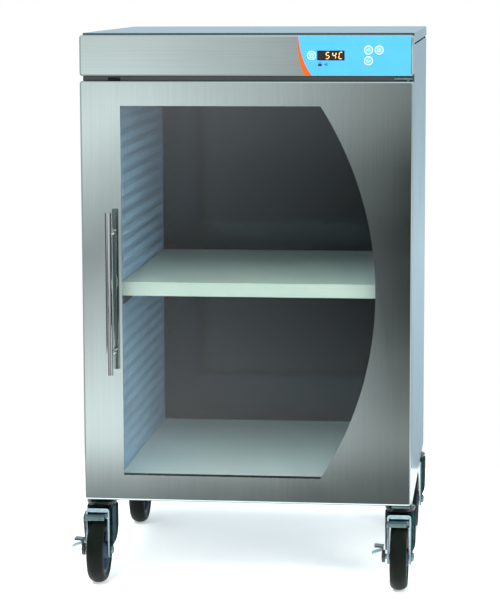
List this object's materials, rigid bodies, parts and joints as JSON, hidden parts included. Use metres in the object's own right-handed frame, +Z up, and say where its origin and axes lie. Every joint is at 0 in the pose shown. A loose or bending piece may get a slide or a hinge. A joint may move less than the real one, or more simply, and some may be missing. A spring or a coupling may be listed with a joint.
{
  "type": "blanket warming cabinet",
  "caption": "Free-standing heated steel cabinet with a hinged glass door, a shelf, a control header and swivel casters with side brakes, for warming blankets.",
  "frame": {"origin": "on the floor under the middle of the overall box: across from the front left brake lever's tip to the right casters' caps, and front to back from the handle to the cord gland", "axes": "+Z up, the door faces -Y, +X to the right of someone who faces the door"},
  "size_m": [0.657, 0.7159, 1.049],
  "materials": {
    "stainless_sheet": "satin stainless sheet, fine grain",
    "chamber_sheet": "plain stainless sheet",
    "polished_steel": "polished stainless bar",
    "zinc_plate": "bright zinc plated pressings",
    "black_steel": "black coated steel",
    "tyre_rubber": "matt black solid rubber",
    "hub_plastic": "slate blue moulded plastic",
    "window_glass": "clear toughened glass",
    "overlay_film": "sky blue printed film",
    "key_plastic": "white moulded plastic",
    "circuit_board": "green resin board with parts",
    "black_plastic": "black moulded plastic",
    "cable_jacket": "silicone jacket",
    "gasket_rubber": "soft black seal",
    "mineral_wool": "loose mineral fibre"
  },
  "bodies": {
    "cabinet": {"top_cover": "stainless_sheet", "side_panel_left": "stainless_sheet", "side_panel_right": "stainless_sheet", "rear_panel": "stainless_sheet", "base_pan": "stainless_sheet", "front_frame": "stainless_sheet", "liner_left": "chamber_sheet", "liner_right": "chamber_sheet", "liner_floor": "chamber_sheet", "liner_top": "chamber_sheet", "liner_back": "chamber_sheet", "insulation_jacket": "mineral_wool", "heating_cable": "cable_jacket", "perforated_panel_left": "chamber_sheet", "perforated_panel_right": "chamber_sheet", "shelf": "chamber_sheet", "shelf_rail_left": "chamber_sheet", "shelf_rail_right": "chamber_sheet", "temperature_probe": "polished_steel", "header_fascia": "stainless_sheet", "control_overlay": "overlay_film", "control_board": "circuit_board", "power_supply": "black_steel", "cord_gland": "black_plastic", "hinge_bracket_top": "zinc_plate", "hinge_bracket_bottom": "zinc_plate", "door_magnet": "black_plastic", "caster_stem_front_left": "black_steel", "caster_stem_front_right": "black_steel", "caster_stem_rear_left": "black_steel", "caster_stem_rear_right": "black_steel"},
    "door": {"door_skin": "stainless_sheet", "door_glass": "window_glass", "door_liner": "stainless_sheet", "door_gasket": "gasket_rubber", "door_handle": "polished_steel"},
    "swivel_front_left": {"caster_fork_front_left": "zinc_plate", "wheel_axle_front_left": "zinc_plate"},
    "wheel_front_left": {"wheel_tyre_front_left": "tyre_rubber", "wheel_hub_front_left": "hub_plastic"},
    "swivel_front_right": {"caster_fork_front_right": "zinc_plate", "wheel_axle_front_right": "zinc_plate"},
    "wheel_front_right": {"wheel_tyre_front_right": "tyre_rubber", "wheel_hub_front_right": "hub_plastic"},
    "swivel_rear_left": {"caster_fork_rear_left": "zinc_plate", "wheel_axle_rear_left": "zinc_plate"},
    "wheel_rear_left": {"wheel_tyre_rear_left": "tyre_rubber", "wheel_hub_rear_left": "hub_plastic"},
    "swivel_rear_right": {"caster_fork_rear_right": "zinc_plate", "wheel_axle_rear_right": "zinc_plate"},
    "wheel_rear_right": {"wheel_tyre_rear_right": "tyre_rubber", "wheel_hub_rear_right": "hub_plastic"},
    "lever_front_left": {"brake_lever_front_left": "zinc_plate"},
    "shoe_front_left": {"brake_shoe_front_left": "zinc_plate"},
    "lever_front_right": {"brake_lever_front_right": "zinc_plate"},
    "shoe_front_right": {"brake_shoe_front_right": "zinc_plate"},
    "power_key": {"power_key": "key_plastic"},
    "up_key": {"up_key": "key_plastic"},
    "down_key": {"down_key": "key_plastic"},
    "set_key": {"set_key": "key_plastic"}
  },
  "joints": [
    {"name": "door_swing", "type": "hinge", "parent": "cabinet", "child": "door", "pos_m": [0.3105, -0.296, 0.56], "axis": [0, 0, 1], "range_deg": [0, 165]},
    {"name": "swivel_turn_front_left", "type": "hinge", "parent": "cabinet", "child": "swivel_front_left", "pos_m": [-0.2765, -0.252, 0.14], "axis": [0, 0, 1], "continuous": true},
    {"name": "wheel_spin_front_left", "type": "hinge", "parent": "swivel_front_left", "child": "wheel_front_left", "pos_m": [-0.2765, -0.287, 0.06296], "axis": [1, 0, 0], "continuous": true},
    {"name": "swivel_turn_front_right", "type": "hinge", "parent": "cabinet", "child": "swivel_front_right", "pos_m": [0.2995, -0.252, 0.14], "axis": [0, 0, 1], "continuous": true},
    {"name": "wheel_spin_front_right", "type": "hinge", "parent": "swivel_front_right", "child": "wheel_front_right", "pos_m": [0.2995, -0.287, 0.06296], "axis": [1, 0, 0], "continuous": true},
    {"name": "swivel_turn_rear_left", "type": "hinge", "parent": "cabinet", "child": "swivel_rear_left", "pos_m": [-0.2765, 0.245, 0.14], "axis": [0, 0, 1], "continuous": true},
    {"name": "wheel_spin_rear_left", "type": "hinge", "parent": "swivel_rear_left", "child": "wheel_rear_left", "pos_m": [-0.2765, 0.21, 0.06296], "axis": [1, 0, 0], "continuous": true},
    {"name": "swivel_turn_rear_right", "type": "hinge", "parent": "cabinet", "child": "swivel_rear_right", "pos_m": [0.2995, 0.245, 0.14], "axis": [0, 0, 1], "continuous": true},
    {"name": "wheel_spin_rear_right", "type": "hinge", "parent": "swivel_rear_right", "child": "wheel_rear_right", "pos_m": [0.2995, 0.21, 0.06296], "axis": [1, 0, 0], "continuous": true},
    {"name": "brake_lever_press_front_left", "type": "hinge", "parent": "swivel_front_left", "child": "lever_front_left", "pos_m": [-0.2765, -0.287, 0.06296], "axis": [1, 0, 0], "range_deg": [0, 40]},
    {"name": "brake_shoe_close_front_left", "type": "slide", "parent": "swivel_front_left", "child": "shoe_front_left", "axis": [0, 0.1994, -0.9799], "range_m": [0, 0.0012]},
    {"name": "brake_lever_press_front_right", "type": "hinge", "parent": "swivel_front_right", "child": "lever_front_right", "pos_m": [0.2995, -0.287, 0.06296], "axis": [1, 0, 0], "range_deg": [0, 40]},
    {"name": "brake_shoe_close_front_right", "type": "slide", "parent": "swivel_front_right", "child": "shoe_front_right", "axis": [0, 0.1994, -0.9799], "range_m": [0, 0.0012]},
    {"name": "power_key_press", "type": "slide", "parent": "cabinet", "child": "power_key", "axis": [0, 1, 0], "range_m": [0, 0.0006], "stiffness_N_per_m": 800, "springref_m": -0.0005},
    {"name": "up_key_press", "type": "slide", "parent": "cabinet", "child": "up_key", "axis": [0, 1, 0], "range_m": [0, 0.0006], "stiffness_N_per_m": 800, "springref_m": -0.0005},
    {"name": "down_key_press", "type": "slide", "parent": "cabinet", "child": "down_key", "axis": [0, 1, 0], "range_m": [0, 0.0006], "stiffness_N_per_m": 800, "springref_m": -0.0005},
    {"name": "set_key_press", "type": "slide", "parent": "cabinet", "child": "set_key", "axis": [0, 1, 0], "range_m": [0, 0.0006], "stiffness_N_per_m": 800, "springref_m": -0.0005}
  ],
  "couplings": [
    {"joint": "brake_lever_press_front_left", "follows": "brake_shoe_close_front_left", "rad_per_m": 581.49},
    {"joint": "brake_lever_press_front_right", "follows": "brake_shoe_close_front_right", "rad_per_m": 581.49}
  ]
}
